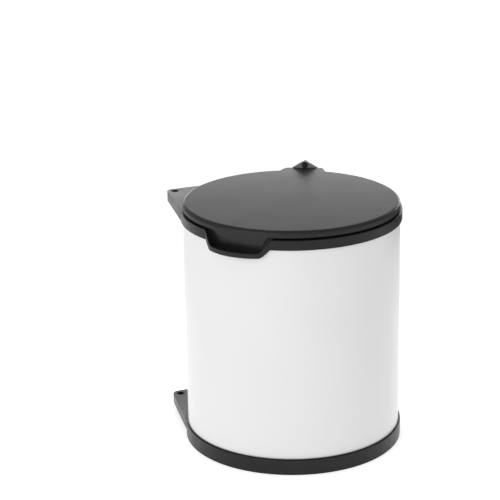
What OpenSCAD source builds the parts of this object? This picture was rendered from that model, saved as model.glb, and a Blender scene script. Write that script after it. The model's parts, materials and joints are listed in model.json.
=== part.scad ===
// Round built-in waste bin that swings out of a cabinet on two vertical pins.
// White steel can, moulded collar and base pan that carry one pivot ear each, hinged lid
// with an opener lug at the back, and a lift-out pail with a wire bail.
// Millimetres, +Z up. The origin is on the can's axis, on the flat underside of the
// base pan. The lid's hinge is at +Y, and the pivot ears are at the back left.

/* [Can] */
// Outside radius of the steel can
can_r = 130; // [126:1:130]
// Height of the whole bin, from the underside to the lid's flat top
bin_h = 300; // [280:1:380]
// Thickness of the can's sheet steel
sheet_t = 0.8; // [0.6:0.1:1.0]
// Wall thickness of the moulded collar, base pan and ears
wall_t = 2.2; // [2.0:0.1:2.4]

/* [Pivot ears] */
// Distance from the can's axis to the pivot pins
pivot_r = 160.8; // [155:0.1:170]
// Direction of the pivot pins, counted from +X
pivot_ang = 157; // [140:1:165]
// Radius of an ear's rounded tip
ear_tip_r = 9.5; // [8:0.5:11]
// Thickness of an ear
ear_t = 12; // [10:0.5:14]
// Radius of the running bore in the pivot bushes, for an 8 mm pin
pivot_bore_r = 4.05; // [4.02:0.01:4.08]
// Outside radius of the pivot bushes
bush_r = 5.5; // [5.2:0.1:6]
// Height of the lower ear's top face
low_ear_z = 20; // [19:0.5:26]

/* [Finger pocket] */
// Direction of the middle of the finger pocket
pocket_ang = -116; // [-116.5:0.5:-115.5]
// Radius of the pocket's bulged lip
lip_arc_r = 64; // [63:1:64]
// How far the lip stands out from the can's axis
lip_reach = 142; // [142:0.5:144]

/* [Lid] */
// Radius of the rounding round the lid's top edge
lid_edge_r = 4; // [4:0.5:5]
// Half the width of the hinge plate behind the lid
plate_half_w = 24.5; // [24:0.5:25]
// Height of the opener lug above the lid's flat top
lug_h = 8; // [8:0.1:9]
// How far the middle of the hinge and its lug lies to the right of the can's middle
hinge_x = 8.5; // [8:0.5:9]
// Radius of the lift stud's free end
stud_r = 2.5; // [2:0.1:3]
// How far the lift stud stands out behind the lug
stud_reach = 10; // [8:0.5:14]

/* [Pail] */
// How far the pail's rim lies below the lid's flat top
pail_drop = 40; // [40:1:90]
// Radial play of the pail's rim where it lifts out through the collar
pail_play = 1.5; // [1:0.1:3]
// Radius of the pail's foot
pail_foot_r = 105; // [103:0.5:107]

/* [Hidden] */
$fn = 96;
// Segments of the large rings, and of a rounded corner in an outline
ring_fn = 180;
corner_n = 6;

// Gaps: a press fit, parts of one body that meet, and parts that move apart
press_gap = 0.02;
fit_gap = 0.1;
free_gap = 0.3;
// Overrun of every cut
cut = 1;

// Levels, from the lid downwards
lid_top = bin_h;
lid_skirt_z = bin_h - 7.9;
collar_top = bin_h - 10;
collar_z = collar_top - 11.8;
collar_web = 2.5;
shell_top = collar_top - 3;
shell_z = 5;
bottom_z = 6;

// Collar, an upside-down channel over the can's rim, from the outside inwards
band_in = can_r + 0.3;
collar_r = band_in + wall_t;
guide_out = can_r - 3.5;
guide_in = can_r - 5.5;
collar_edge = 0.8;
// How far inside the ring's outside the ears' flanks would touch it
ear_bite = 1;
// The ears are welded to pads that stand this far out of the rings, and end bluntly at this
// angle before their flanks would touch the ring
ear_pad = 0.6;
ear_blunt = 9.6;
ear_tip_n = 16;
rib_t = 2;
collar_screw_angles = [-30, 40, 135, 205];
collar_screw_z = collar_top - 7.6;
collar_screw_r = 1.5;
collar_boss_r = 4;

// Can
shell_in = can_r - sheet_t;
hem_r = 1.2;
seam_ang = 62;
seam_w = 6;
bottom_flange_h = 9;
dish_r = 86;
dish_h = 1.6;
bead_half = 2;
bead_flank = 3;

// Base pan
pan_floor = 2.5;
pan_edge = 1;
pan_recess = 1.2;
pan_pad_r = 40;
pan_ring_r = 114;
base_screw_r = 92;
base_screw_angles = [45, 135, 225, 315];
base_hole_r = 2.2;
base_sink_r = 4.4;

// Hinge of the lid
hinge_y = collar_r + 4.1;
hinge_z = collar_top - 0.3;
knuckle_r = 4;
pin_r = 2;
pin_run = 0.06;
pin_reach = 34;
plate_y = hinge_y + 1.8;
plate_t = 4;
cheek_in = plate_half_w - 7;
plate_shift = -2;
cheek_t = 4.5;
knuckle_gap = 0.5;

// Opener lug and its stud
lug_y = plate_y + free_gap;
lug_t = 4.5;
lug_back = lug_y + lug_t;
lug_half_w = 16;
lug_tip_r = 9;
lug_tip_n = 16;
stud_drop = 4.2;
lug_stem = 13;
stud_z = lid_top + lug_h - stud_drop;
stud_seat_r = 3.1;
stud_head_r = 3.7;
stud_head_t = 1.6;
lug_screw_xs = [hinge_x - 11, hinge_x + 11];
lug_screw_z = lid_top - plate_t / 2;
lug_screw_r = 1.1;

// Finger pocket, as heights and half widths of its sloped outline
lip_z = collar_z - 9.5;
lip_top = lip_z + 5.5;
floor_top = lip_z + 3.6;
lip_t = 2.5;
lip_c = lip_reach - lip_arc_r;
lip_half = 33.8;
lip_slope = 0.93;
lip_round = 5;
notch_half = 32.5;
notch_slope = 0.74;
notch_round = 4;
cup_t = 2;
cup_gap = 0.4;

// Lid
panel_t = 3;
skin_t = 2.5;
skirt_in = can_r - skin_t;
seal_in = can_r - 5.4;
seal_lip_r = 1.2;
liner_r = can_r - 12;
liner_z = lid_top - 6.6;
liner_t = 1.8;
liner_bead_r = liner_r - 21;
liner_screw_at = 70;
liner_screw_angles = [45, 135, 225, 315];
liner_screw_r = 1.25;

// Pail and bail
pail_top = lid_top - pail_drop;
pail_rim_r = guide_in - pail_play;
pail_wall = 2;
pail_z = 10;
pail_floor = 2.5;
pail_mouth_r = pail_rim_r - 8.5;
pail_neck_z = pail_top - 12;
pail_ear_r = 6;
pail_ear_t = 3;
bail_z = pail_top + pail_ear_r;
bail_r = pail_rim_r - 2.7;
bail_wire_r = 1.8;
bail_front = pail_rim_r - 11;
grip_r = 5.4;
grip_half = 38;

charcoal = [0.16, 0.16, 0.165];
dark = [0.07, 0.07, 0.075];
white = [0.92, 0.92, 0.91];
steel = [0.62, 0.63, 0.65];
pale_grey = [0.60, 0.61, 0.62];

// Half width of the pocket's opening, and of its outer wall, at height z
function notch_w(z) = notch_half + (z - lip_top) * notch_slope;
function lip_w(z) = lip_half + (z - lip_z) * lip_slope;
// Point at distance r in direction a
function polar(r, a) = [r * cos(a), r * sin(a)];
// Both ends of the span from d to d + w, on the side s = -1 or 1
function low_end(s, d, w) = min(s * d, s * (d + w));
function high_end(s, d, w) = max(s * d, s * (d + w));

// ---- shared shapes ----

// Ring with a rectangular section
module ring(r_out, r_in, z0, z1) {
    rotate_extrude($fn = ring_fn)
        translate([r_in, z0])
            square([r_out - r_in, z1 - z0]);
}

// Upright disc about the can's axis
module disc(r, z0, z1) {
    translate([0, 0, z0])
        cylinder(r = r, h = z1 - z0, $fn = ring_fn);
}

// Upright cylinder at a polar place
module post(r_at, ang, r, z0, z1) {
    translate(concat(polar(r_at, ang), z0))
        cylinder(r = r, h = z1 - z0);
}

// Cylinder along X between two x values, on a line at y and z
module bar_x(r, x0, x1, y, z) {
    translate([x0, y, z])
        rotate([0, 90, 0])
            cylinder(r = r, h = x1 - x0);
}

// Cylinder along Y between two y values, on a line at x and z
module bar_y(r, y0, y1, x, z) {
    translate([x, y1, z])
        rotate([90, 0, 0])
            cylinder(r = r, h = y1 - y0);
}

// Box between two corners
module box(a, b) {
    translate(a)
        cube(b - a);
}

// Cross recess of a screw head whose axis is Z: two slots through the origin
module cross_slots(half_l, half_w, z0, z1) {
    box([-half_l, -half_w, z0], [half_l, half_w, z1]);
    box([-half_w, -half_l, z0], [half_w, half_l, z1]);
}

// Hole along the whole hinge line, with a radial clearance on the pin
module hinge_bore(clearance) {
    bar_x(pin_r + clearance, hinge_x - pin_reach, hinge_x + pin_reach, hinge_y, hinge_z);
}

// Points of a lower right corner at p that is rounded to radius r, up to a flank at angle lean
function round_corner(p, r, lean) =
    [for (i = [0 : corner_n])
        p + [r * sin(lean * i / corner_n) - r * tan(lean / 2), r - r * cos(lean * i / corner_n)]];

// Trapezoid from height z0 up to z1 with a half width at each, and rounded lower corners
module tub_outline(z0, w0, z1, w1, r) {
    right = round_corner([w0, z0], r, atan2(z1 - z0, w1 - w0));
    left = [for (i = [corner_n : -1 : 0]) [-right[i][0], right[i][1]]];
    polygon(concat(right, [[w1, z1], [-w1, z1]], left));
}

// Prism through the finger pocket: its outline's x runs across the pocket and its y is height
module pocket_prism(v0, v1) {
    rotate([0, 0, pocket_ang])
        translate([v0, 0, 0])
            rotate([90, 0, 90])
                linear_extrude(v1 - v0)
                    children();
}

// Plan of an ear: two flanks from the ring to the tip, inset by a wall where it is cored.
// The flanks aim a little inside the ring, so that they meet its outside at an angle, and
// they end at a blunt face that is turned by the given angle from where they would touch.
module ear_plan(inset, blunt) {
    ring_r = collar_r - ear_bite - inset;
    tip_r = ear_tip_r - inset;
    tip = polar(pivot_r, pivot_ang);
    swing = acos((ring_r - tip_r) / pivot_r);
    left = pivot_ang + swing;
    right = pivot_ang - swing;
    end_r = ring_r / cos(blunt);
    polygon(concat(
        [polar(can_r - 5, left - blunt), polar(end_r, left - blunt)],
        [for (i = [0 : ear_tip_n]) tip + polar(tip_r, left + (right - left) * i / ear_tip_n)],
        [polar(end_r, right + blunt), polar(can_r - 5, right + blunt)]
    ));
}

// Pad on a ring's outside that an ear is welded to
module ear_seat(z0) {
    difference() {
        intersection() {
            translate([0, 0, z0])
                linear_extrude(ear_t)
                    ear_plan(0, 0);
            disc(collar_r + ear_pad, z0 - cut, z0 + ear_t + cut);
        }
        disc(band_in, z0 - cut, z0 + ear_t + cut);
    }
}

// Ear that is cored from below, with a boss round the pin and one rib
module ear(z0) {
    below = z0 - cut;
    above = z0 + ear_t + cut;
    foot_r = collar_r + ear_pad + fit_gap;
    difference() {
        translate([0, 0, z0])
            linear_extrude(ear_t)
                ear_plan(0, ear_blunt);
        disc(foot_r, below, above);
        difference() {
            translate([0, 0, below])
                linear_extrude(ear_t - collar_web + cut)
                    ear_plan(wall_t, 0);
            disc(foot_r + wall_t, below - cut, above);
            post(pivot_r, pivot_ang, ear_tip_r, below - cut, above);
            rotate([0, 0, pivot_ang])
                box([can_r, -rib_t / 2, below - cut], [pivot_r, rib_t / 2, above]);
        }
        post(pivot_r, pivot_ang, bush_r + press_gap, below, above);
    }
}

// Plain bush that fills an ear's height
module pivot_bush(z0) {
    difference() {
        post(pivot_r, pivot_ang, bush_r, z0, z0 + ear_t);
        post(pivot_r, pivot_ang, pivot_bore_r, z0 - cut, z0 + ear_t + cut);
    }
}

// ---- steel can ----

module can_shell() {
    cut_z = lip_z + 1.3;
    cut_top = shell_top + cut;
    cut_side = cup_t + cup_gap;
    seam_z0 = 20;
    color(white)
    difference() {
        union() {
            ring(can_r, shell_in, shell_z, shell_top);
            rotate_extrude($fn = ring_fn)
                translate([can_r - hem_r, shell_top - hem_r])
                    circle(r = hem_r, $fn = 32);
            rotate([0, 0, seam_ang])
                box([shell_in - sheet_t, -seam_w / 2, seam_z0],
                    [shell_in + sheet_t / 2, seam_w / 2, collar_z]);
        }
        pocket_prism(can_r - 20, can_r + 10)
            tub_outline(cut_z, notch_w(cut_z) + cut_side, cut_top, notch_w(cut_top) + cut_side, notch_round);
        for (a = collar_screw_angles)
            rotate([0, 0, a])
                bar_x(collar_screw_r + free_gap, guide_in, can_r + cut, 0, collar_screw_z);
    }
}

// Pressed bottom with an upright flange, a bead that the pail stands on and a raised middle
module can_bottom() {
    r = shell_in - fit_gap;
    bead_r = pail_foot_r - 3;
    bead_z = pail_z - 0.05 - sheet_t;
    under = [
        [0, bottom_z + dish_h], [dish_r - 4, bottom_z + dish_h], [dish_r, bottom_z],
        [bead_r - bead_half - bead_flank, bottom_z], [bead_r - bead_half, bead_z],
        [bead_r + bead_half, bead_z], [bead_r + bead_half + bead_flank, bottom_z]
    ];
    over = [for (i = [len(under) - 1 : -1 : 0]) under[i] + [0, sheet_t]];
    flange = [
        [r, bottom_z], [r, bottom_z + bottom_flange_h], [r - sheet_t, bottom_z + bottom_flange_h],
        [r - sheet_t, bottom_z + sheet_t]
    ];
    color(white)
    difference() {
        rotate_extrude($fn = ring_fn)
            polygon(concat(under, flange, over));
        for (a = base_screw_angles)
            post(base_screw_r, a, base_hole_r, bottom_z - cut, bottom_z + cut + sheet_t);
    }
}

// ---- base pan ----

module base_pan() {
    floor_z = bottom_z - fit_gap;
    post_r = 7;
    spoke_half = 2;
    sink_top = 3.4;
    color(charcoal)
    difference() {
        union() {
            ring(collar_r, band_in, pan_edge, low_ear_z - pan_edge);
            ring(collar_r - pan_edge, band_in, 0, low_ear_z);
            disc(collar_r - pan_edge, 0, pan_floor);
            disc(collar_r, pan_edge, pan_floor);
            ring(can_r - 1, can_r - 4, pan_floor, shell_z - fit_gap);
            ring(pan_ring_r, pan_ring_r - 2, pan_floor, floor_z);
            for (a = base_screw_angles)
                post(base_screw_r, a, post_r, 0, floor_z);
            ear_seat(low_ear_z - ear_t);
        }
        difference() {
            ring(pan_ring_r + 2, pan_pad_r, -cut, pan_recess);
            for (i = [0 : 5])
                rotate([0, 0, 15 + i * 60])
                    box([pan_pad_r - cut, -spoke_half, -2 * cut], [can_r, spoke_half, pan_recess + cut]);
        }
        for (a = base_screw_angles) {
            post(base_screw_r, a, base_hole_r, -cut, bottom_z + cut);
            post(base_screw_r, a, base_sink_r, -cut, sink_top);
        }
    }
}

module base_screws() {
    head_z = 1;
    head_top = 3.3;
    color(steel)
    for (a = base_screw_angles)
        difference() {
            union() {
                post(base_screw_r, a, 4, head_z, head_top);
                post(base_screw_r, a, 2, head_top - fit_gap, pail_z);
            }
            rotate([0, 0, a])
                translate([base_screw_r, 0, 0])
                    cross_slots(2.4, 0.5, 0, head_z + 1.1);
        }
}

module base_nuts() {
    nut_z = bottom_z + sheet_t + 0.05;
    nut_h = 2.6;
    color(steel)
    for (a = base_screw_angles)
        translate(concat(polar(base_screw_r, a), nut_z))
            difference() {
                cylinder(r = 4.04, h = nut_h, $fn = 6);
                translate([0, 0, -cut])
                    cylinder(r = 2 + press_gap, h = nut_h + 2 * cut);
            }
}

// ---- collar ----

// Half section of the collar: outer band, top web with rounded edges, inner guide wall
module collar_profile() {
    wall_top = collar_top - collar_edge;
    translate([band_in, collar_z])
        square([collar_r - band_in, wall_top - collar_z]);
    translate([guide_in, collar_z])
        square([guide_out - guide_in, wall_top - collar_z]);
    translate([guide_in, collar_top - collar_web])
        square([collar_r - guide_in, collar_web - collar_edge]);
    translate([guide_in + collar_edge, collar_top - collar_web])
        square([collar_r - guide_in - 2 * collar_edge, collar_web]);
    for (x = [guide_in + collar_edge, collar_r - collar_edge])
        translate([x, wall_top])
            circle(r = collar_edge, $fn = 24);
}

// Inner cup of the pocket, which stands in the can's cut-out
module pocket_cup() {
    z0 = floor_top - cup_t;
    intersection() {
        pocket_prism(can_r - 30, can_r + 20)
            tub_outline(z0, notch_w(z0) + cup_t, collar_top, notch_w(collar_top) + cup_t, notch_round);
        ring(can_r + 1, guide_in, z0, collar_top);
    }
}

// Outer bulge of the pocket, outside the can
module pocket_bulge() {
    intersection() {
        pocket_prism(can_r - 30, lip_reach + 5)
            tub_outline(lip_z, lip_half, collar_top, lip_w(collar_top), lip_round);
        difference() {
            post(lip_c, pocket_ang, lip_arc_r, lip_z, collar_top - 0.4);
            disc(band_in, lip_z - cut, lid_top);
        }
    }
}

// Space of the pocket: open outwards above the lip, and closed by the lip below it
module pocket_space() {
    open_top = collar_top + cut;
    pocket_prism(can_r - 15, lip_reach + 10)
        tub_outline(lip_top, notch_half, open_top, notch_w(open_top), notch_round);
    intersection() {
        pocket_prism(can_r - 15, lip_reach + 10)
            tub_outline(floor_top, notch_w(floor_top), open_top, notch_w(open_top), notch_round);
        post(lip_c, pocket_ang, lip_arc_r - lip_t, lip_z, open_top);
    }
}

// Cheek that carries one end of the hinge pin
module hinge_cheek(x0) {
    chamfer = 2.8;
    bar_x(knuckle_r, x0, x0 + cheek_t, hinge_y, hinge_z);
    translate([x0, 0, 0])
        rotate([90, 0, 90])
            linear_extrude(cheek_t)
                polygon([
                    [can_r - 1, collar_z + 1], [collar_r - 0.5, collar_z + 1],
                    [hinge_y + chamfer, hinge_z - chamfer], [hinge_y, hinge_z], [can_r - 1, hinge_z]
                ]);
}

module collar() {
    boss_out = can_r - 2 * hem_r - fit_gap;
    color(charcoal)
    difference() {
        union() {
            difference() {
                union() {
                    rotate_extrude($fn = ring_fn)
                        collar_profile();
                    pocket_cup();
                    pocket_bulge();
                }
                difference() {
                    pocket_space();
                    disc(guide_out, lip_z, lid_top + cut);
                }
            }
            difference() {
                union() {
                    hinge_cheek(hinge_x + cheek_in);
                    hinge_cheek(hinge_x - cheek_in - cheek_t);
                }
                disc(band_in, lip_z, lid_top + cut);
            }
            ear_seat(collar_top - ear_t);
            for (a = collar_screw_angles)
                rotate([0, 0, a])
                    bar_x(collar_boss_r, guide_out - 0.5, boss_out, 0, collar_screw_z);
        }
        hinge_bore(press_gap);
        for (a = collar_screw_angles)
            rotate([0, 0, a]) {
                bar_x(collar_screw_r + fit_gap, guide_in - 5, can_r + 1.8, 0, collar_screw_z);
                translate([guide_in - 0.01, 0, collar_screw_z])
                    rotate([0, 90, 0])
                        cylinder(r1 = 3.3, r2 = collar_screw_r + fit_gap, h = 1.7);
            }
    }
}

// Countersunk screws from inside the mouth, through the can's wall
module collar_screws() {
    head_x = guide_in + 0.1;
    color(steel)
    for (a = collar_screw_angles)
        rotate([0, 0, a])
            difference() {
                union() {
                    bar_x(collar_screw_r, head_x + 0.2, can_r + 1.6, 0, collar_screw_z);
                    translate([head_x, 0, collar_screw_z])
                        rotate([0, 90, 0])
                            cylinder(r1 = 3, r2 = collar_screw_r, h = 1.5);
                }
                translate([head_x, 0, collar_screw_z])
                    rotate([0, 90, 0])
                        cross_slots(2, 0.4, -cut, 0.7);
            }
}

// ---- pivot ears ----

module upper_ear() {
    color(charcoal)
    ear(collar_top - ear_t);
}

module lower_ear() {
    color(charcoal)
    ear(low_ear_z - ear_t);
}

module upper_pivot_bush() {
    color(dark)
    pivot_bush(collar_top - ear_t);
}

module lower_pivot_bush() {
    color(dark)
    pivot_bush(low_ear_z - ear_t);
}

// ---- hinge ----

module hinge_pin() {
    half = cheek_in + cheek_t + 1.6;
    tip = 0.4;
    color(steel)
    union() {
        bar_x(pin_r, hinge_x - half + tip, hinge_x + half - tip, hinge_y, hinge_z);
        bar_x(pin_r - tip, hinge_x - half, hinge_x + half, hinge_y, hinge_z);
    }
}

// Push-on clips on both ends of the pin
module pin_clips() {
    x0 = cheek_in + cheek_t + 0.2;
    clip_t = 0.8;
    color(steel)
    for (s = [-1, 1])
        difference() {
            translate([hinge_x, 0, 0])
                bar_x(3.6, low_end(s, x0, clip_t), high_end(s, x0, clip_t), hinge_y, hinge_z);
            hinge_bore(press_gap);
        }
}

// ---- pail ----

// Half section of the pail: foot ring, floor, tapered wall and turned-down rim
module pail_profile() {
    foot_in = pail_foot_r - 6;
    floor_z = pail_z + 2;
    rim_under = pail_top - 2.2;
    rim_low = pail_top - 9;
    rim_in = pail_rim_r - 1.8;
    polygon([
        [0, floor_z], [foot_in, floor_z], [foot_in, pail_z], [pail_foot_r, pail_z],
        [pail_mouth_r + pail_wall, pail_neck_z], [pail_mouth_r + pail_wall, rim_under],
        [rim_in, rim_under], [rim_in, rim_low], [pail_rim_r, rim_low],
        [pail_rim_r, pail_top - 0.6], [pail_rim_r - 0.6, pail_top],
        [pail_mouth_r + 0.8, pail_top], [pail_mouth_r, pail_top - 0.8],
        [pail_mouth_r, pail_neck_z],
        [pail_foot_r - pail_wall, floor_z + 5], [pail_foot_r - 5, floor_z + pail_floor],
        [0, floor_z + pail_floor]
    ]);
}

module pail() {
    color(pale_grey)
    difference() {
        union() {
            rotate_extrude($fn = ring_fn)
                pail_profile();
            for (s = [-1, 1]) {
                x0 = low_end(s, pail_mouth_r, pail_ear_t);
                x1 = high_end(s, pail_mouth_r, pail_ear_t);
                bar_x(pail_ear_r, x0, x1, 0, bail_z);
                box([x0, -pail_ear_r - 2, pail_top - 1], [x1, pail_ear_r + 2, pail_top + 2]);
            }
        }
        bar_x(bail_wire_r + 0.08, -can_r, can_r, 0, bail_z);
    }
}

// ---- lid ----

// Half section of the lid's skin: flat top, rounded edge and short skirt
module lid_profile() {
    edge_c = can_r - lid_edge_r;
    edge_z = lid_top - lid_edge_r;
    translate([0, lid_top - panel_t])
        square([edge_c, panel_t]);
    intersection() {
        difference() {
            translate([edge_c, edge_z])
                circle(r = lid_edge_r, $fn = 64);
            translate([edge_c, edge_z])
                circle(r = lid_edge_r - skin_t, $fn = 48);
        }
        translate([edge_c, edge_z])
            square([lid_edge_r + cut, lid_edge_r + cut]);
    }
    translate([skirt_in, lid_skirt_z])
        square([can_r - skirt_in, edge_z - lid_skirt_z]);
}

// Outline of the finger tab, which deepens from the left, with a rounded lower right corner
module tab_outline() {
    low = lid_skirt_z - 10.1;
    high = lid_skirt_z + 1;
    right = 33;
    right_top = 40;
    corner = round_corner([right, low], 3, atan2(high - low, right_top - right));
    polygon(concat(
        [[-34, high], [-26, lid_skirt_z - 3.3], [-15, lid_skirt_z - 7], [-3, lid_skirt_z - 9.3]],
        [[12, low]], corner, [[right_top, high]]
    ));
}

// Tab under the lid's front edge, for the fingers
module lid_tab() {
    intersection() {
        pocket_prism(can_r - 20, can_r + 10)
            tab_outline();
        ring(can_r, skirt_in, lip_z, lid_skirt_z + 2);
    }
}

module lid_knuckle(x0, x1) {
    bar_x(knuckle_r, x0, x1, hinge_y, hinge_z);
    box([x0, hinge_y - 3.4, hinge_z], [x1, plate_y, lid_top - plate_t + 0.5]);
}

// Plan of the hinge plate: it narrows behind the lid, with a slanted left corner
module plate_plan() {
    root_y = can_r - 12;
    step_y = can_r - 4.5;
    wing = plate_half_w + 3.5;
    translate([hinge_x + plate_shift, 0])
    polygon([
        [-wing, root_y], [-wing, step_y], [-plate_half_w, plate_y - 4.5],
        [-plate_half_w + 4, plate_y], [plate_half_w - 1.5, plate_y],
        [plate_half_w, plate_y - 1.5], [wing, step_y], [wing, root_y]
    ]);
}

module lid_panel() {
    color(charcoal)
    difference() {
        union() {
            rotate_extrude($fn = ring_fn)
                lid_profile();
            lid_tab();
            translate([0, 0, lid_top - plate_t])
                linear_extrude(plate_t)
                    plate_plan();
            lid_knuckle(hinge_x - cheek_in + knuckle_gap, hinge_x - lug_stem / 2 - knuckle_gap);
            lid_knuckle(hinge_x + lug_stem / 2 + knuckle_gap, hinge_x + cheek_in - knuckle_gap);
            for (a = liner_screw_angles)
                post(liner_screw_at, a, 4, liner_z + liner_t, lid_top - 1);
        }
        hinge_bore(pin_run);
        for (x = lug_screw_xs)
            bar_y(lug_screw_r + 0.05, plate_y - 10, plate_y + cut, x, lug_screw_z);
        for (a = liner_screw_angles)
            post(liner_screw_at, a, liner_screw_r + 0.05, liner_z - cut, lid_top - 1.6);
    }
}

module lid_liner() {
    color(charcoal)
    difference() {
        union() {
            disc(liner_r, liner_z, liner_z + liner_t);
            ring(liner_r, liner_r - 1.8, liner_z, lid_top - panel_t - 0.05);
            ring(liner_bead_r + 1, liner_bead_r - 1, liner_z - 0.6, liner_z + 0.5);
        }
        for (a = liner_screw_angles)
            post(liner_screw_at, a, 1.6, liner_z - cut, liner_z + liner_t + cut);
    }
}

module liner_screws() {
    head_z = liner_z - 1.5;
    color(steel)
    for (a = liner_screw_angles)
        difference() {
            union() {
                post(liner_screw_at, a, 3, head_z, liner_z - press_gap);
                post(liner_screw_at, a, liner_screw_r, liner_z - 0.5, lid_top - 2);
            }
            rotate([0, 0, a])
                translate([liner_screw_at, 0, head_z])
                    cross_slots(1.8, 0.4, -cut, 0.7);
        }
}

// Rubber ring under the lid, with a round lip that rests just off the collar
module lid_seal() {
    lip_top_z = collar_top + free_gap + seal_lip_r;
    out = skirt_in - fit_gap;
    corner_z = lid_top - lid_edge_r;
    color(dark)
    difference() {
        rotate_extrude($fn = ring_fn)
            union() {
                polygon([
                    [seal_in + 0.8, lip_top_z], [out, lip_top_z], [out, corner_z],
                    [out - 1.1, lid_top - panel_t - 0.05], [seal_in + 0.8, lid_top - panel_t - 0.05]
                ]);
                translate([seal_in + 1.6, lip_top_z])
                    circle(r = seal_lip_r, $fn = 32);
            }
        translate([hinge_x + plate_shift, 0, 0])
            box([-plate_half_w - 5, can_r - 12, lid_top - plate_t - fit_gap],
                [plate_half_w + 5, can_r + 5, lid_top]);
    }
}

// ---- opener lug ----

// Gable with a rounded tip: its flanks are tangents to the tip circle
module gable_plan() {
    foot_z = lid_top - plate_t - 0.4;
    rise = lug_h - lug_tip_r;
    lean = atan2(rise, lug_half_w) + asin(lug_tip_r / norm([lug_half_w, rise]));
    polygon(concat(
        [[-lug_half_w, foot_z], [lug_half_w, foot_z], [lug_half_w, lid_top]],
        [for (i = [0 : lug_tip_n])
            [0, lid_top + rise] + polar(lug_tip_r, 90 - lean + 2 * lean * i / lug_tip_n)],
        [[-lug_half_w, lid_top]]
    ));
}

// Lug on the hinge line, with a toe that meets the collar's back when the lid is wide open
module opener_lug() {
    x0 = hinge_x - lug_stem / 2;
    x1 = hinge_x + lug_stem / 2;
    toe = polar(4.4, -46);
    toe_r = 1.2;
    color(dark)
    difference() {
        union() {
            translate([hinge_x, lug_back, 0])
                rotate([90, 0, 0])
                    linear_extrude(lug_t)
                        gable_plan();
            bar_x(knuckle_r, x0, x1, hinge_y, hinge_z);
            box([x0, hinge_y, hinge_z - 3], [x1, lug_back, lid_top - plate_t - free_gap]);
            bar_x(toe_r, x0, x1, hinge_y + toe[0], hinge_z + toe[1]);
        }
        hinge_bore(pin_run);
        bar_y(stud_seat_r + press_gap, lug_y - cut, lug_back + cut, hinge_x, stud_z);
        for (x = lug_screw_xs)
            bar_y(lug_screw_r + 0.2, lug_y - cut, lug_back + cut, x, lug_screw_z);
    }
}

// Riveted stud with a flat head in front, a shoulder behind and a plain free end
module lift_stud() {
    shoulder_t = 1;
    tip = 0.5;
    end_y = lug_back + stud_reach;
    color(dark)
    union() {
        bar_y(stud_head_r, lug_y - stud_head_t, lug_y - press_gap, hinge_x, stud_z);
        bar_y(stud_seat_r, lug_y - stud_head_t / 2, lug_back + shoulder_t / 2, hinge_x, stud_z);
        bar_y(stud_head_r, lug_back + press_gap, lug_back + shoulder_t, hinge_x, stud_z);
        bar_y(stud_r, lug_back, end_y - tip, hinge_x, stud_z);
        bar_y(stud_r - tip, lug_back, end_y, hinge_x, stud_z);
    }
}

module lug_screws() {
    head_y = lug_back + press_gap;
    head_t = 1.6;
    color(steel)
    for (x = lug_screw_xs)
        difference() {
            union() {
                bar_y(lug_screw_r, plate_y - 9, lug_back + 0.5, x, lug_screw_z);
                bar_y(2.3, head_y, head_y + head_t, x, lug_screw_z);
            }
            translate([x, head_y + head_t, lug_screw_z])
                rotate([90, 0, 0])
                    cross_slots(1.5, 0.35, -cut, 0.7);
        }
}

// ---- bail ----

// Wire that lies on the front of the pail's rim and turns in the pail's two ears
module bail_wire() {
    bend = asin(bail_front / bail_r);
    corner_x = bail_r * cos(bend);
    end_in = pail_mouth_r - 2.5;
    color(steel)
    union() {
        for (s = [0, 1])
            mirror([s, 0, 0]) {
                translate([0, 0, bail_z])
                    rotate([0, 0, -bend])
                        rotate_extrude(angle = bend, $fn = ring_fn)
                            translate([bail_r, 0])
                                circle(r = bail_wire_r, $fn = 24);
                for (p = [[corner_x, -bail_front, bail_z], [bail_r, 0, bail_z]])
                    translate(p)
                        sphere(r = bail_wire_r, $fn = 24);
                bar_x(bail_wire_r, end_in, bail_r, 0, bail_z);
            }
        bar_x(bail_wire_r, -corner_x, corner_x, -bail_front, bail_z);
    }
}

module bail_grip() {
    step = 1;
    color(charcoal)
    difference() {
        union() {
            bar_x(grip_r, -grip_half + step, grip_half - step, -bail_front, bail_z);
            bar_x(grip_r - step, -grip_half, grip_half, -bail_front, bail_z);
        }
        bar_x(bail_wire_r + 0.05, -grip_half - cut, grip_half + cut, -bail_front, bail_z);
    }
}

can_shell();
can_bottom();
base_pan();
base_screws();
base_nuts();
collar();
collar_screws();
upper_ear();
lower_ear();
upper_pivot_bush();
lower_pivot_bush();
hinge_pin();
pin_clips();
pail();
lid_panel();
lid_liner();
liner_screws();
lid_seal();
opener_lug();
lift_stud();
lug_screws();
bail_wire();
bail_grip();
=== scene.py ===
import json
import math

import bpy
from mathutils import Matrix, Vector

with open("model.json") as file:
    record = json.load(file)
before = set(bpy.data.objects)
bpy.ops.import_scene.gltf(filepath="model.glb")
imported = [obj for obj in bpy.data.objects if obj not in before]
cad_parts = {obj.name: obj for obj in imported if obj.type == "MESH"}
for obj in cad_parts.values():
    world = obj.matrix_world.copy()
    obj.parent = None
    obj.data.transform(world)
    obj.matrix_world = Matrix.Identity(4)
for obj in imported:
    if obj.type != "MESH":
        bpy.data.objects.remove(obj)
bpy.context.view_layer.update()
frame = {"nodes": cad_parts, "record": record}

# Camera, studio light and finishes of a round bin that swings out of a kitchen cabinet. Every
# shape comes from the CAD, and no mesh is changed here.

scene = bpy.context.scene
nodes = frame["nodes"]

# ---------------------------------------------------------------- camera

LENS_MM = 130.32
SENSOR_MM = 36.0
FAR_CLIP = 60.0
CAM_POS = Vector((0.1323, -2.0683, 0.9181))
CAM_AZIMUTH = math.radians(5.05)
CAM_DOWN = math.radians(18.21)
CAM_ROLL = math.radians(-0.887)


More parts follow.
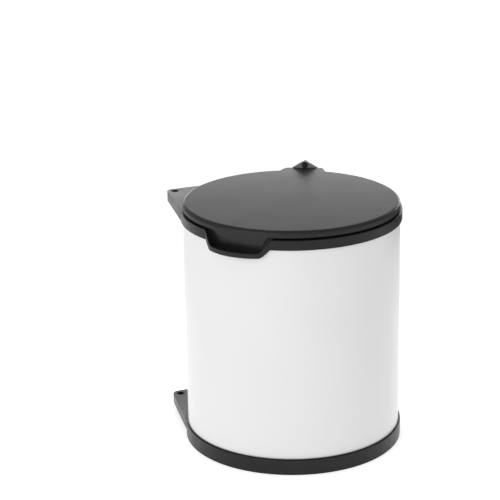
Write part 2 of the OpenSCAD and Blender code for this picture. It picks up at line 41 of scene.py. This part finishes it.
def make_camera():
    forward = Vector((
        -math.sin(CAM_AZIMUTH) * math.cos(CAM_DOWN),
        math.cos(CAM_AZIMUTH) * math.cos(CAM_DOWN),
        -math.sin(CAM_DOWN),
    ))
    level = Vector((math.cos(CAM_AZIMUTH), math.sin(CAM_AZIMUTH), 0.0))
    upright = level.cross(forward)
    right = level * math.cos(CAM_ROLL) + upright * math.sin(CAM_ROLL)
    up = right.cross(forward)
    data = bpy.data.cameras.new("camera")
    data.sensor_width = SENSOR_MM
    data.lens = LENS_MM
    data.clip_end = FAR_CLIP
    camera = bpy.data.objects.new("camera", data)
    turn = Matrix((right, up, -forward)).transposed().to_4x4()
    camera.matrix_world = Matrix.Translation(CAM_POS) @ turn
    scene.collection.objects.link(camera)
    scene.camera = camera


# ---------------------------------------------------------------- stage

WHITE = (1.0, 1.0, 1.0, 1.0)
SKY = 0.45

FLOOR_SIZE = 30.0
FLOOR_GREY = 0.9
FLOOR_ROUGHNESS = 0.95
FLOOR_GLOW = 0.62

# Name, place, target, size in metres and watts. The key lights the front from the left. The
# panel is low and close behind the bin, and makes the lid lighter towards its back.
LIGHTS = (
    ("key", (-1.4, -2.3, 1.2), (0.0, 0.0, 0.15), (1.4, 1.6), 20.0),
    ("back_panel", (0.05, 0.5, 0.325), (0.05, 0.0, 0.325), (0.8, 0.15), 1.7),
)

FLAG_PLACE = (0.62, 0.55, 0.2)
FLAG_TARGET = Vector((0.13, 0.0, 0.2))
FLAG_SIZE = (0.75, 0.42, 1.0)
FLAG_GREY = 0.02


def area_light(name, place, target, size, watts):
    data = bpy.data.lights.new(name, "AREA")
    data.shape = "RECTANGLE"
    data.size, data.size_y = size
    data.energy = watts
    light = bpy.data.objects.new(name, data)
    light.location = place
    aim = Vector(target) - Vector(place)
    light.rotation_euler = aim.to_track_quat("-Z", "Y").to_euler()
    light.visible_camera = False
    scene.collection.objects.link(light)


def matt(name, grey, roughness, glow=0.0):
    """A plain grey without highlights, for the things on the stage."""
    material = bpy.data.materials.new(name)
    material.use_nodes = True
    shader = material.node_tree.nodes["Principled BSDF"]
    shader.inputs["Base Color"].default_value = (grey, grey, grey, 1.0)
    shader.inputs["Roughness"].default_value = roughness
    shader.inputs["Specular IOR Level"].default_value = 0.0
    shader.inputs["Emission Color"].default_value = WHITE
    shader.inputs["Emission Strength"].default_value = glow
    return material


def make_floor():
    bpy.ops.mesh.primitive_plane_add(size=FLOOR_SIZE, location=(0.0, 0.0, 0.0))
    floor = bpy.context.object
    floor.name = "floor"
    floor.data.materials.append(matt("floor_paint", FLOOR_GREY, FLOOR_ROUGHNESS, FLOOR_GLOW))


def make_sky():
    world = bpy.data.worlds.new("studio")
    scene.world = world
    world.use_nodes = True
    sky = world.node_tree.nodes["Background"]
    sky.inputs["Color"].default_value = WHITE
    sky.inputs["Strength"].default_value = SKY


def dark_flag():
    """A dark card behind the right side that only reflections see, as a studio flag does."""
    bpy.ops.mesh.primitive_plane_add(size=1.0, location=FLAG_PLACE)
    card = bpy.context.object
    card.name = "flag"
    card.scale = FLAG_SIZE
    aim = FLAG_TARGET - card.location
    card.rotation_euler = aim.to_track_quat("Z", "Y").to_euler()
    card.data.materials.append(matt("flag_cloth", FLAG_GREY, 1.0))
    card.visible_camera = False
    card.visible_diffuse = False
    card.visible_shadow = False
    card.visible_transmission = False


def make_stage():
    make_floor()
    make_sky()
    for light in LIGHTS:
        area_light(*light)
    dark_flag()
    scene.view_settings.view_transform = "Standard"
    scene.view_settings.look = "None"


# ---------------------------------------------------------------- finishes

BEVEL_SAMPLES = 6

# Cosine of the angle between the true and the rounded normal, on a face and on a sharp edge.
FACE_COSINE = 0.995
EDGE_COSINE = 0.80

# Size in metres of the patches in which edge wear and scuffs come and go.
WEAR_PATCH = 0.012
SCUFF_PATCH = 0.05

# Sockets of the colour mix node, whose names are not unique.
MIX_FACTOR = 0
MIX_A = 6
MIX_B = 7
MIX_RESULT = 2


class Finish:
    """A layered procedural material; every pattern is in metres in the object's own frame."""

    def __init__(self, name, specular=0.5, metallic=0.0, coat=0.0, coat_roughness=0.2):
        self.material = bpy.data.materials.new(name)
        self.material.use_nodes = True
        self.tree = self.material.node_tree
        self.shader = self.tree.nodes["Principled BSDF"]
        self.shader.inputs["Specular IOR Level"].default_value = specular
        self.shader.inputs["Metallic"].default_value = metallic
        self.shader.inputs["Coat Weight"].default_value = coat
        self.shader.inputs["Coat Roughness"].default_value = coat_roughness
        self.place = self.node("ShaderNodeTexCoord").outputs["Object"]

    def node(self, kind, **settings):
        made = self.tree.nodes.new(kind)
        for key, value in settings.items():
            setattr(made, key, value)
        return made

    def put(self, socket, value):
        """Links an output to the socket, or sets a constant. Colours have three numbers."""
        if isinstance(value, bpy.types.NodeSocket):
            self.tree.links.new(value, socket)
        elif isinstance(value, tuple) and len(value) == 3 and socket.type == "RGBA":
            socket.default_value = (*value, 1.0)
        else:
            socket.default_value = value

    def stretched(self, scale):
        mapping = self.node("ShaderNodeMapping")
        self.put(mapping.inputs["Vector"], self.place)
        mapping.inputs["Scale"].default_value = scale
        return mapping.outputs["Vector"]

    def noise(self, size, detail=2.0, rough=0.5, where=None, distortion=0.0):
        """Noise whose features are about this size in metres."""
        made = self.node("ShaderNodeTexNoise")
        self.put(made.inputs["Vector"], where or self.place)
        made.inputs["Scale"].default_value = 1.0 / size
        made.inputs["Detail"].default_value = detail
        made.inputs["Roughness"].default_value = rough
        made.inputs["Distortion"].default_value = distortion
        return made.outputs["Fac"]

    def cells(self, size, feature="F1"):
        """Distance to the middle of cells of this size in metres."""
        made = self.node("ShaderNodeTexVoronoi", feature=feature)
        self.put(made.inputs["Vector"], self.place)
        made.inputs["Scale"].default_value = 1.0 / size
        return made.outputs["Distance"]

    def span(self, value, from_low, from_high, to_low=0.0, to_high=1.0):
        """Smooth step of value between two limits, onto another range."""
        made = self.node("ShaderNodeMapRange", interpolation_type="SMOOTHSTEP")
        self.put(made.inputs["Value"], value)
        made.inputs["From Min"].default_value = from_low
        made.inputs["From Max"].default_value = from_high
        made.inputs["To Min"].default_value = to_low
        made.inputs["To Max"].default_value = to_high
        return made.outputs["Result"]

    def math(self, operation, a, b):
        made = self.node("ShaderNodeMath", operation=operation)
        self.put(made.inputs[0], a)
        self.put(made.inputs[1], b)
        return made.outputs["Value"]

    def mix(self, factor, a, b):
        made = self.node("ShaderNodeMix", data_type="RGBA")
        self.put(made.inputs[MIX_FACTOR], factor)
        self.put(made.inputs[MIX_A], a)
        self.put(made.inputs[MIX_B], b)
        return made.outputs[MIX_RESULT]

    def marked(self, colour, mask, share, mark):
        """The colour with at most this share of the mark's colour where the mask is 1."""
        return self.mix(self.math("MULTIPLY", mask, share), colour, mark)

    def rounded(self, radius):
        """The surface normal, with edges rounded by this radius in metres."""
        bevel = self.node("ShaderNodeBevel", samples=BEVEL_SAMPLES)
        bevel.inputs["Radius"].default_value = radius
        return bevel.outputs["Normal"]

    def edge(self, radius):
        """1 on convex and concave edges, 0 on open faces."""
        rounded = self.rounded(radius)
        flat = self.node("ShaderNodeNewGeometry")
        dot = self.node("ShaderNodeVectorMath", operation="DOT_PRODUCT")
        self.put(dot.inputs[0], rounded)
        self.put(dot.inputs[1], flat.outputs["Normal"])
        return self.span(dot.outputs["Value"], FACE_COSINE, EDGE_COSINE)

    def rubbed_edge(self, radius):
        """Edge wear that comes and goes along the edge."""
        patch = self.span(self.noise(WEAR_PATCH, detail=3.0), 0.42, 0.62)
        return self.math("MULTIPLY", self.edge(radius), patch)

    def scuffs(self, size, low, high):
        """Sparse fine scratches in patches, thin along the axis with the smallest size."""
        scale = tuple(1.0 / length for length in size)
        line = self.noise(1.0, rough=0.6, where=self.stretched(scale), distortion=0.6)
        patch = self.span(self.noise(SCUFF_PATCH), 0.48, 0.66)
        return self.math("MULTIPLY", self.span(line, low, high), patch)

    def relief(self, layers, soften):
        """Bump from (height, depth in metres) layers, over edges softened by this radius."""
        normal = self.rounded(soften)
        for height, depth in layers:
            bump = self.node("ShaderNodeBump")
            self.put(bump.inputs["Height"], height)
            bump.inputs["Distance"].default_value = depth
            bump.inputs["Strength"].default_value = 1.0
            self.put(bump.inputs["Normal"], normal)
            normal = bump.outputs["Normal"]
        self.put(self.shader.inputs["Normal"], normal)

    def done(self, colour, roughness):
        self.put(self.shader.inputs["Base Color"], colour)
        self.put(self.shader.inputs["Roughness"], roughness)
        return self.material


def powder_coat():
    """White powder coat with fine orange peel and faint scuffs, almost even all over."""
    f = Finish("white_powder_coat", specular=0.45, coat=0.12, coat_roughness=0.16)
    cloud = f.span(f.noise(0.11, detail=3.0), 0.35, 0.65)
    colour = f.mix(cloud, (0.805, 0.807, 0.805), (0.817, 0.818, 0.816))
    scuff = f.scuffs((0.06, 0.06, 0.0006), 0.64, 0.74)
    colour = f.marked(colour, scuff, 0.05, (0.60, 0.60, 0.60))
    colour = f.marked(colour, f.rubbed_edge(0.0004), 0.35, (0.62, 0.62, 0.61))
    rough = f.span(f.noise(0.035), 0.25, 0.75, 0.31, 0.33)
    rough = f.math("ADD", rough, f.math("MULTIPLY", scuff, 0.06))
    peel = f.noise(0.0017, detail=1.0, rough=0.4)
    fine = f.noise(0.0005, detail=1.0)
    f.relief([(peel, 0.00004), (fine, 0.000008)], soften=0.00035)
    return f.done(colour, rough)


def moulded(name, low, high, worn, roughness, specular, grain, depth, soften=0.0004, uneven=1.0):
    """Textured injection-moulded plastic, with burnished edges and faint scuffs."""
    f = Finish(name, specular=specular)
    cloud = f.span(f.noise(0.06, detail=4.0, rough=0.6), 0.33, 0.67)
    colour = f.mix(cloud, low, high)
    speck = f.span(f.noise(grain * 1.6), 0.45, 0.75, 0.0, 0.35)
    colour = f.mix(speck, colour, worn)
    scuff = f.scuffs((0.035, 0.0007, 0.035), 0.62, 0.70)
    colour = f.marked(colour, scuff, 0.35 * uneven, worn)
    colour = f.marked(colour, f.rubbed_edge(0.0009), 0.5, worn)
    smooth = roughness - 0.035 * uneven
    dull = roughness + 0.045 * uneven
    rough = f.span(f.noise(0.028, detail=5.0, rough=0.65), 0.3, 0.7, smooth, dull)
    rough = f.math("SUBTRACT", rough, f.math("MULTIPLY", f.edge(0.0007), 0.06))
    pits = f.cells(grain, "SMOOTH_F1")
    waves = f.noise(0.004, detail=1.0)
    f.relief([(waves, depth * 0.7 * uneven), (pits, depth)], soften=soften)
    return f.done(colour, rough)


def rubber():
    f = Finish("black_rubber", specular=0.25)
    bloom = f.span(f.noise(0.02, detail=4.0, rough=0.6), 0.4, 0.7)
    colour = f.mix(bloom, (0.010, 0.010, 0.010), (0.020, 0.020, 0.021))
    f.relief([(f.noise(0.0006), 0.00003)], soften=0.0003)
    return f.done(colour, f.span(f.noise(0.01, detail=3.0), 0.3, 0.7, 0.62, 0.74))


def plated():
    """Zinc-plated steel, drawn along the object's z axis, with dull spots."""
    f = Finish("zinc_steel", metallic=1.0)
    spangle = f.span(f.cells(0.0035), 0.1, 0.8)
    colour = f.mix(spangle, (0.56, 0.57, 0.59), (0.68, 0.69, 0.70))
    stain = f.span(f.noise(0.006, detail=4.0, rough=0.7), 0.5, 0.75, 0.0, 0.5)
    colour = f.mix(stain, colour, (0.50, 0.48, 0.44))
    drawn = f.noise(1.0, where=f.stretched((1600.0, 1600.0, 120.0)))
    f.relief([(drawn, 0.000008), (f.noise(0.001), 0.00001)], soften=0.0002)
    return f.done(colour, f.span(f.noise(0.004, detail=3.0), 0.3, 0.7, 0.24, 0.38))


def black_oxide():
    f = Finish("black_oxide", specular=0.3, metallic=0.35)
    cloud = f.span(f.noise(0.003, detail=4.0, rough=0.6), 0.4, 0.7)
    colour = f.mix(cloud, (0.030, 0.030, 0.031), (0.052, 0.051, 0.050))
    colour = f.marked(colour, f.rubbed_edge(0.0006), 0.6, (0.16, 0.155, 0.15))
    f.relief([(f.noise(0.0005), 0.00001)], soften=0.0003)
    return f.done(colour, f.span(f.noise(0.003, detail=3.0), 0.3, 0.7, 0.34, 0.46))


def pail_plastic():
    """Grey bucket plastic, with upright flow streaks and rubs from lifting in and out."""
    f = Finish("grey_plastic", specular=0.4)
    streak = f.noise(1.0, detail=4.0, rough=0.6, where=f.stretched((22.0, 22.0, 5.0)))
    streak = f.span(streak, 0.35, 0.65)
    colour = f.mix(streak, (0.235, 0.245, 0.255), (0.270, 0.280, 0.290))
    rub = f.scuffs((0.004, 0.004, 0.05), 0.60, 0.70)
    colour = f.marked(colour, rub, 0.3, (0.40, 0.41, 0.42))
    colour = f.marked(colour, f.rubbed_edge(0.0008), 0.4, (0.38, 0.39, 0.40))
    waves = f.noise(0.006, detail=1.0)
    pits = f.cells(0.0009, "SMOOTH_F1")
    f.relief([(waves, 0.00005), (pits, 0.000012)], soften=0.0005)
    return f.done(colour, f.span(f.noise(0.03, detail=5.0, rough=0.6), 0.3, 0.7, 0.36, 0.47))


CHARCOAL = {
    "low": (0.0095, 0.0095, 0.0100),
    "high": (0.0125, 0.0125, 0.0130),
    "worn": (0.030, 0.030, 0.031),
    "grain": 0.0006,
    "depth": 0.000018,
}

# The finish of each material slot in the record. The nylon parts have finishes of their own.
SLOTS = {
    "white_steel": powder_coat(),
    "charcoal_plastic": moulded("charcoal_plastic", roughness=0.33, specular=0.25, **CHARCOAL),
    "lid_plastic": moulded(
        "lid_plastic",
        low=(0.0185, 0.0185, 0.0190),
        high=(0.0205, 0.0205, 0.0210),
        worn=(0.032, 0.032, 0.033),
        roughness=0.42,
        specular=0.24,
        grain=0.0005,
        depth=0.000012,
        uneven=0.3,
    ),
    "black_rubber": rubber(),
    "grey_plastic": pail_plastic(),
    "plated_steel": plated(),
    "blackened_steel": black_oxide(),
}

# The finish of single nodes: the nylon bushes and lug, and the ears, which reflect more than the
# charcoal rings that they stand on.
BUSH = moulded(
    "bush_nylon",
    low=(0.0045, 0.0045, 0.0047),
    high=(0.0065, 0.0065, 0.0067),
    worn=(0.02, 0.02, 0.02),
    roughness=0.5,
    specular=0.12,
    grain=0.0004,
    depth=0.00001,
    soften=0.0002,
)
LUG = moulded(
    "lug_nylon",
    low=(0.265, 0.265, 0.266),
    high=(0.300, 0.300, 0.301),
    worn=(0.36, 0.36, 0.36),
    roughness=0.42,
    specular=0.35,
    grain=0.0004,
    depth=0.00001,
)
EAR = moulded("ear_plastic", roughness=0.36, specular=0.38, **CHARCOAL)
OWN_FINISH = {
    "upper_pivot_bush": BUSH,
    "lower_pivot_bush": BUSH,
    "opener_lug": LUG,
    "upper_ear": EAR,
    "lower_ear": EAR,
}

# ---------------------------------------------------------------- build

make_camera()
make_stage()
for entry in frame["record"]["subparts"]:
    finish = OWN_FINISH.get(entry["node"]) or SLOTS[entry["material_slot"]]
    ob = nodes[entry["node"]]
    ob.data.materials.clear()
    ob.data.materials.append(finish)
